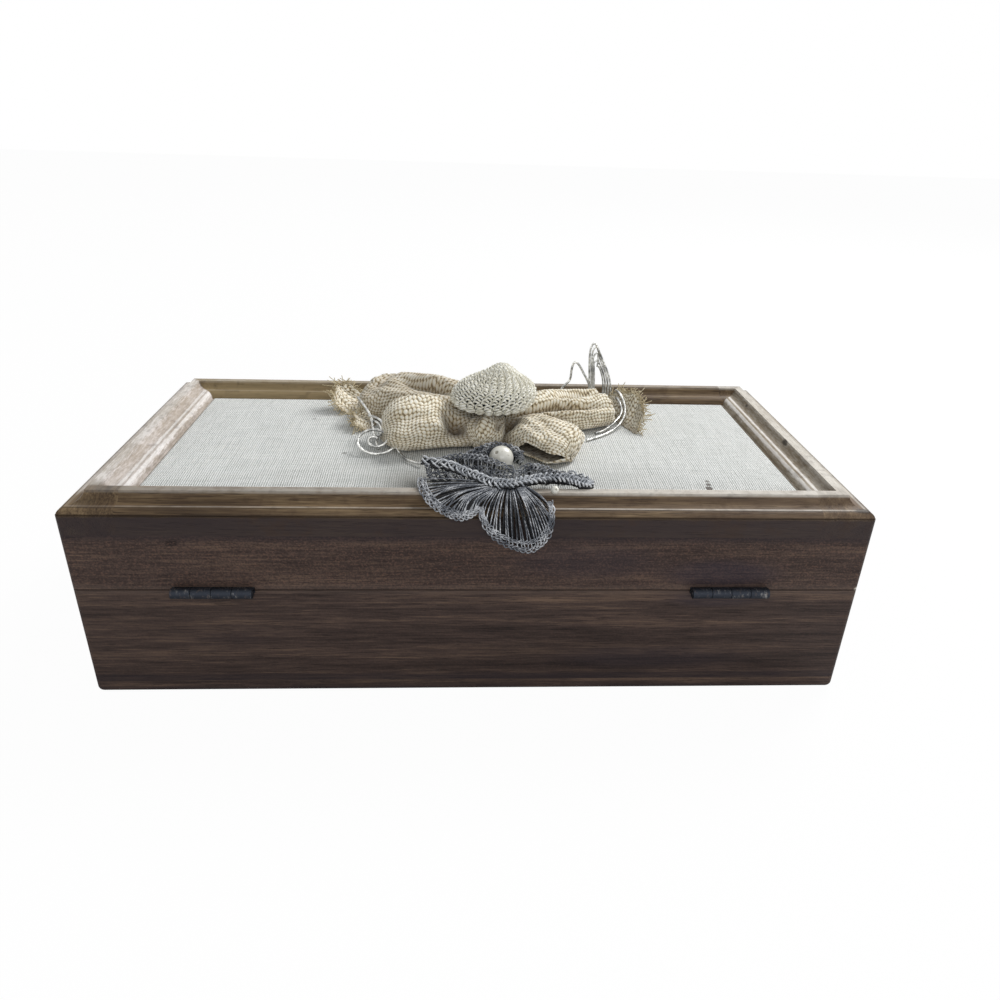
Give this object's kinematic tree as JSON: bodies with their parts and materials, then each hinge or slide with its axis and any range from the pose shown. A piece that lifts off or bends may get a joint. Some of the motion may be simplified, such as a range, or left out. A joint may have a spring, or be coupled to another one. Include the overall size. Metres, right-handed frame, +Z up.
{
  "type": "jewelry box",
  "caption": "Wooden jewelry box with a hinged lid, a moulded frame round a linen panel, and a burlap, wire and crochet flower with a pearl bead.",
  "frame": {"origin": "centre of the carcass's underside, where the box rests", "axes": "+X along the length, -Y out of the hinged back, +Y out of the opening front, +Z up"},
  "size_m": [0.254, 0.1281, 0.0986],
  "materials": {
    "dark_wood": "oiled, satin",
    "moulding_wood": "waxed, worn",
    "inner_wood": "plain, sanded",
    "linen": "fine plain weave",
    "felt": "felted",
    "burlap": "coarse plain weave",
    "knit_yarn": "knitted",
    "grey_thread": "crocheted, slight sheen",
    "aged_metal": "darkened",
    "screw_metal": "plain",
    "silver_wire": "bright drawn",
    "pearl": "pearly gloss"
  },
  "bodies": {
    "base": {"bottom_board": "dark_wood", "base_left_wall": "dark_wood", "base_right_wall": "dark_wood", "base_back_wall": "dark_wood", "base_front_wall": "dark_wood", "floor_lining": "felt", "long_divider": "inner_wood", "left_cross_divider": "inner_wood", "right_cross_divider": "inner_wood", "left_hinge_base_leaf": "aged_metal", "right_hinge_base_leaf": "aged_metal", "left_hinge_pin": "aged_metal", "right_hinge_pin": "aged_metal", "base_hinge_screws": "screw_metal"},
    "lid": {"lid_left_wall": "dark_wood", "lid_right_wall": "dark_wood", "lid_back_wall": "dark_wood", "lid_front_wall": "dark_wood", "lid_board": "inner_wood", "lid_lining": "felt", "left_rail": "moulding_wood", "right_rail": "moulding_wood", "back_rail": "moulding_wood", "front_rail": "moulding_wood", "panel_board": "inner_wood", "linen_cover": "linen", "left_hinge_lid_leaf": "aged_metal", "right_hinge_lid_leaf": "aged_metal", "lid_hinge_screws": "screw_metal", "knit_dome": "knit_yarn", "back_left_petal": "burlap", "front_left_petal": "burlap", "front_right_petal": "burlap", "right_petal": "burlap", "left_leaf": "burlap", "right_leaf": "burlap", "wire_spiral": "silver_wire", "wire_bow": "silver_wire", "small_wire_loop": "silver_wire", "tall_wire_loops": "silver_wire", "crochet_left_fan": "grey_thread", "crochet_centre_fan": "grey_thread", "crochet_rim": "grey_thread", "crochet_left_lobe": "grey_thread", "crochet_right_lobe": "grey_thread", "pearl_bead": "pearl", "small_bead": "pearl"}
  },
  "joints": [
    {"name": "lid_hinge", "type": "hinge", "parent": "base", "child": "lid", "pos_m": [0, -0.0642, 0.0412], "axis": [1, 0, 0], "range_deg": [0, 105]}
  ]
}
